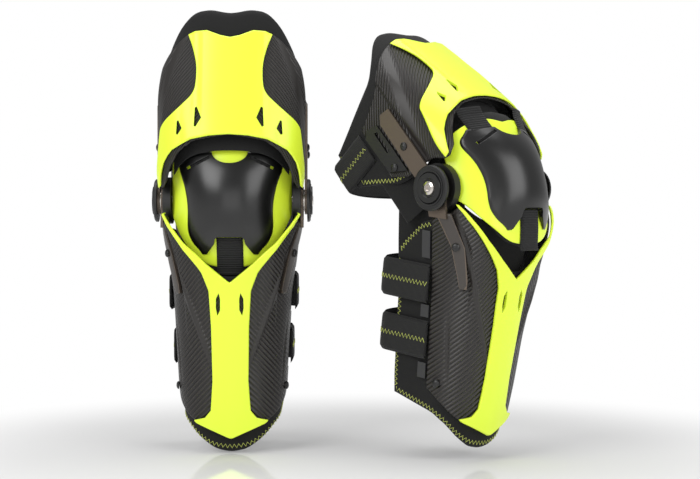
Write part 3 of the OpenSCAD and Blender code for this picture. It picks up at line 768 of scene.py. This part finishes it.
def gusset(name, at, lo, hi, group, other, sign, side):
    """Stretch cloth behind the hinge, from the cup's axis to a liner. Its offset runs from -18 mm at the
    front edge to -6 mm where it is sewn into the foam: off = -18 + 12 (|t| - 98) / 52."""
    t1 = np.sort(sign * np.linspace(98, 150, 40))
    z = rows_of(lo(t1), hi(t1), 40)
    t = np.broadcast_to(t1, z.shape)
    o = skin(name + ("_a_" if sign < 0 else "_b_") + side,
             lambda t, z, off: at(t, z, off - 18 + 12 * (np.abs(t) - 98) / 52), t, z, 0.0, 1.6, 0.8,
             place(side, group))
    o.data.materials.append(NEOPRENE)
    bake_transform(o)
    return o


for side in SIDES:
    for sign in (-1, 1):
        gusset("knee_gusset_low", shin_at, lambda t: shin_liner_top(t) - 8, lambda t: 0 * t, "shin",
               (BODY["shin"](side), BODY["cup"](side)), sign, side)
        gusset("knee_gusset_high", thigh_at, lambda t: 0 * t, lambda t: thigh_liner_bottom(t) + 8, "thigh",
               (BODY["cup"](side), BODY["thigh"](side)), sign, side)

# %% [markdown]
# ## Straps
# Wide elastic bands close behind the leg with hook and loop. A row of bright zigzag runs along the middle.

# %% calf, thigh and cup straps


def band_line(w, back, corner, start, n=160):
    """Half-oval behind the leg: x = w cos a, y = corner + (back - corner) sin(a)^0.8, with straight ends."""
    a = np.linspace(0, np.pi, n)
    arc = np.stack([w * np.cos(a), corner + (back - corner) * np.sin(a) ** 0.8], -1)
    k = np.linspace(0, 1, 30, endpoint=False)[:, None]
    first = np.array([[w, start]]) * (1 - k) + arc[:1] * k
    last = (arc[-1:] * (1 - k) + np.array([[-w, start]]) * k)[1:]
    return np.concatenate([first, arc, last, [[-w, start]]])


def strap(name, w, back, corner, start, z0, height, group, side, node, shift=0.0):
    """A flat woven band of one thickness, its edges rounded, with a zigzag along the middle outside."""
    line = band_line(w, back, corner, start)
    line[:, 1] += shift
    tangent = np.gradient(line, axis=0)
    tangent /= np.linalg.norm(tangent, axis=1, keepdims=True)
    out = np.stack([tangent[:, 1], -tangent[:, 0]], -1)
    thick = 2.6
    across = np.linspace(0, 1, 13)
    lift = thick * np.sqrt(1 - (2 * across - 1) ** 8)
    rows = []
    for k, h in list(zip(across, lift)) + [(k, 0.0) for k in across[::-1][1:-1]]:
        p = line + out * h
        rows.append(np.concatenate([p, np.full((len(p), 1), z0 + 0.3 + (height - 0.6) * k)], 1))
    ring = np.stack(rows, 1)
    n, m = ring.shape[:2]
    idx = np.arange(n * m).reshape(n, m)
    nxt = np.roll(idx, -1, axis=1)
    faces = np.stack([idx[:-1], idx[1:], nxt[1:], nxt[:-1]], -1).reshape(-1, 4)
    caps = []
    for i in (0, n - 1):
        for j in range(12):
            other = [(m - j) % m, (m - j - 1) % m]
            caps.append([idx[i, j], idx[i, j + 1], idx[i, other[1]], idx[i, other[0]]])
    run = np.concatenate([[0], np.cumsum(np.linalg.norm(np.diff(line, axis=0), axis=1))])
    uv = np.stack([np.broadcast_to(ring[..., 2] * MM, (n, m)), np.broadcast_to(run[:, None] * MM, (n, m))], -1)
    o = mesh_from(name + "_band_" + side, carried(ring.reshape(-1, 3), place(side, group)),
                  np.concatenate([faces, np.array(caps)]), uv.reshape(-1, 2))
    weld(o)
    dress(o, ELASTIC, group, side, "strap_elastic", node)
    mid = np.concatenate([line + out * (thick + 0.15), np.full((len(line), 1), z0 + height / 2)], 1)
    normal = np.concatenate([out, np.zeros((len(line), 1))], 1)
    z = tube(name + "_zigzag_" + side, zigzag(mid, normal, 2.4, 4.4), 0.36, place(side, group))
    dress(z, THREAD, group, side, "strap_elastic")
    return o


def cup_strap(name, centre, wide, z0, z1, lean, side, node, bodies, mirror=1):
    """A ribbed elastic strap lying on the cup: a band of that width along z, its middle line leaning out."""
    z = np.linspace(z0, z1, 60)[:, None]
    k = np.linspace(-1, 1, 17)[None, :]
    x = centre + lean * (z - 46) + k * wide / 2
    x = x * mirror
    fall = np.clip(z - 56, 0, None) * 0.35 if z1 > 60 else 0 * z
    base = cup_y(x, np.clip(z, -74, 66)) - 0.9 - fall * 0.2
    thick = 2.0 * np.sqrt(1 - np.abs(k) ** 8) + 0.05 + 0 * z
    outer = np.stack([x, base - thick, z + 0 * x], -1)
    inner = np.stack([x, base + 0 * thick, z + 0 * x], -1)
    rows, cols = x.shape
    n = rows * cols
    idx = np.arange(n).reshape(rows, cols)
    a, b, c, d = idx[:-1, :-1], idx[:-1, 1:], idx[1:, 1:], idx[1:, :-1]
    ring = np.concatenate([idx[0, :-1], idx[:-1, -1], idx[-1, :0:-1], idx[:0:-1, 0]])
    nxt = np.roll(ring, -1)
    faces = np.concatenate([np.stack([a, b, c, d], -1).reshape(-1, 4),
                            np.stack([a, d, c, b], -1).reshape(-1, 4) + n,
                            np.stack([ring, ring + n, nxt + n, nxt], -1)])
    pts = np.concatenate([outer.reshape(-1, 3), inner.reshape(-1, 3)])
    uv = np.stack([x, z + 0 * x], -1).reshape(-1, 2) * MM
    o = mesh_from(name + "_" + side, carried(pts, place(side, "cup")), faces, np.concatenate([uv, uv]))
    weld(o)
    o.data.materials.append(RIBBED)
    if node:
        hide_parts(*[n + "_" + side for n in node])
    bodies[0](side)
    bodies[1](side)
    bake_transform(o)
    return o


for side in SIDES:
    strap("calf_upper", float(shin_w(-78.0)) + 0.3, 86, 58, 4.2, -118, 40, "shin", side, "calf_strap_upper")
    strap("calf_lower", float(shin_w(-136.0)) + 0.3, 84, 58, 4.2, -176, 40, "shin", side, "calf_strap_lower")
    strap("thigh_band", 75.0, 63, 51, 4.2, 76, 38, "thigh", side, "thigh_strap", shift=37)
    low, high = (BODY["shin"], BODY["cup"]), (BODY["cup"], BODY["thigh"])
    cup_strap("cup_strap_low", 0, 28, -78, -39, 0, side, ["cup_strap_lower"], low)
    cup_strap("cup_strap_high_a", 32, 25, 31, 74, 0.22, side, ["cup_straps_upper"], high, 1)
    cup_strap("cup_strap_high_b", 32, 25, 31, 74, 0.22, side, [], high, -1)

# %% [markdown]
# ## Hinges and arms
# Two bronze-anodised arms on each side are riveted to the shells and turn on a steel pin under a stepped
# black cover. These are machined parts, so the CAD solids are shown as they are and only given a finish.

# %% finish the parts kept from the CAD model


def shin_arm(side):
    """The tapering blade that follows the shin shell: the section surface between two angle lines."""
    pieces = []
    for sign in (-1, 1):
        z1 = np.linspace(-99, -23, 60)
        back = by(z1, (-99, 58), (-56, 70), (-23, 88))
        front = by(z1, (-99, 53), (-94, 50), (-56, 56), (-23, 72))
        k = np.linspace(0, 1, 16)[None, :]
        t = sign * (back[:, None] * (1 - k) + front[:, None] * k)
        t = t if sign < 0 else t[:, ::-1]
        z = np.broadcast_to(z1[:, None], t.shape)
        o = skin(f"shin_arm_blade_{'a' if sign < 0 else 'b'}_{side}", shin_at, t, z, 0.5, 2.8, 1.4,
                 place(side, "shin"))
        pieces.append(dress(o, ARM, "shin", side, "bronze_arm"))
    return pieces


def side_pad(side):
    """A crowned foam disc inside each hinge: thickness = 4.4 (1 - (r / 37)^6), cut straight in front."""
    out = []
    for sign in (-1, 1):
        r = np.linspace(0.3, 1, 26)[:, None] * 37
        a = np.linspace(-math.pi, math.pi, 97)[None, :]
        y = np.maximum(r * np.cos(a), -14)
        z = r * np.sin(a)
        crown = 4.2 * (1 - (r / 37) ** 6) + 0 * a
        inner = np.stack([sign * (56.6 - crown), y, z], -1)
        outer = np.stack([sign * 56.6 + 0 * y, y, z], -1)
        pts = np.concatenate([inner.reshape(-1, 3), outer.reshape(-1, 3)])
        rows, cols = y.shape
        n = rows * cols
        i = np.arange(n).reshape(rows, cols)
        q = np.stack([i[:-1, :-1], i[:-1, 1:], i[1:, 1:], i[1:, :-1]], -1).reshape(-1, 4)
        bore = np.stack([i[0, :-1], i[0, 1:], i[0, 1:] + n, i[0, :-1] + n], -1)
        o = mesh_from("side_pad_" + ("a" if sign < 0 else "b") + "_" + side, carried(pts, place(side, "cup")),
                      np.concatenate([q, q[:, ::-1] + n, bore]))
        weld(o)
        dress(o, NEOPRENE, "cup", side, "liner_foam", *(["knee_side_pads"] if sign < 0 else []))
        out.append(o)
    return out


FINISH = {
    "shin_arms": BRONZE, "thigh_arms": BRONZE, "shin_rivets": BLACK, "thigh_rivets": BLACK, "strap_flanges": GREY,
    "hinge_backings": BLACK, "hinge_washers": STEEL, "hinge_covers": BLACK, "hinge_rings": RING,
    "hinge_pins": STEEL, "cup_links": BLACK, "thigh_anchors": BLACK,
}
for side in SIDES:
    shin_arm(side)
    side_pad(side)
    for node, mat in FINISH.items():
        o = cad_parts[node + "_" + side]
        o.data.materials.clear()
        o.data.materials.append(mat)
print("CAD parts finished", len(FINISH) * 2)

# %% [markdown]
# ## The studio
# A white sweep, two large soft lights and a fill from the front, so that colours come out as they are.
# The camera stands level with the guards, two steps back, with a long lens.

# %% floor, lights and camera
FLOOR = -268.2 * MM
size = 14.0
white, tree, shader = material("white_acrylic_floor", "#F4F4F4", Roughness=0.08, IOR=1.35)
# past the guards the floor runs into the white sweep: distance from the middle, 0 within 0.3 m, 1 past 0.6 m
where = add(tree, "ShaderNodeTexCoord")
apart = add(tree, "ShaderNodeVectorMath", {0: where.outputs["Object"]}, operation="DISTANCE", _1=(0.126, -0.05, FLOOR))
fade = add(tree, "ShaderNodeMapRange", {"Value": apart.outputs["Value"]}, interpolation_type="SMOOTHSTEP",
           **{"From Min": 0.3, "From Max": 0.6})
glow = add(tree, "ShaderNodeEmission", Color=(1, 1, 1, 1), Strength=1.0)
both = add(tree, "ShaderNodeMixShader", {0: fade.outputs["Result"], 1: shader.outputs["BSDF"],
                                         2: glow.outputs["Emission"]})
tree.links.new(both.outputs["Shader"], tree.nodes["Material Output"].inputs["Surface"])
floor = mesh_from("floor", np.array([[-size, -size, FLOOR], [size, -size, FLOOR], [size, size, FLOOR],
                                     [-size, size, FLOOR]]), np.array([[0, 1, 2, 3]]))
floor.data.materials.append(white)


def light(name, at, aim, wide, tall, power):
    """A rectangular soft light at a place, aimed at a point."""
    data = bpy.data.lights.new(name, "AREA")
    data.shape, data.size, data.size_y, data.energy = "RECTANGLE", wide, tall, power
    o = bpy.data.objects.new(name, data)
    o.location = at
    o.rotation_euler = (Vector(aim) - Vector(at)).to_track_quat("-Z", "Y").to_euler()
    bpy.context.collection.objects.link(o)
    return o


CENTRE = (0.126, -0.03, -0.04)
light("key", (-1.3, -1.5, 1.2), CENTRE, 1.4, 1.4, 30)
light("fill", (1.7, -1.3, 0.8), CENTRE, 1.4, 1.4, 20)
light("top", (0.1, 0.1, 1.6), CENTRE, 1.6, 1.2, 18)
light("front", (0.1, -2.4, 0.1), CENTRE, 1.6, 1.0, 6)

world = bpy.data.worlds.new("studio") if bpy.context.scene.world is None else bpy.context.scene.world
bpy.context.scene.world = world
world.use_nodes = True
wt = world.node_tree
wt.nodes.clear()
rays = add(wt, "ShaderNodeLightPath")
either = add(wt, "ShaderNodeMath", {0: rays.outputs["Is Camera Ray"], 1: rays.outputs["Is Transmission Ray"]},
             operation="MAXIMUM")
soft = add(wt, "ShaderNodeBackground", Color=(1, 1, 1, 1), Strength=0.4)
back = add(wt, "ShaderNodeBackground", Color=(1, 1, 1, 1), Strength=1.0)
mix = add(wt, "ShaderNodeMixShader", {0: either.outputs[0], 1: soft.outputs[0], 2: back.outputs[0]})
add(wt, "ShaderNodeOutputWorld", {"Surface": mix.outputs[0]})

cam_data = bpy.data.cameras.new("camera")
cam_data.lens, cam_data.sensor_width = 84.0, 36.0
cam = bpy.data.objects.new("camera", cam_data)
reach, rise = 1.76, math.radians(1.2)
target = np.array([0.126, 0.0, -0.042])
cam.location = target + reach * np.array([0, -math.cos(rise), math.sin(rise)])
cam.rotation_euler = (math.pi / 2 - rise, 0, 0)
bpy.context.collection.objects.link(cam)
bpy.context.scene.camera = cam
bpy.context.scene.view_settings.view_transform = "Standard"
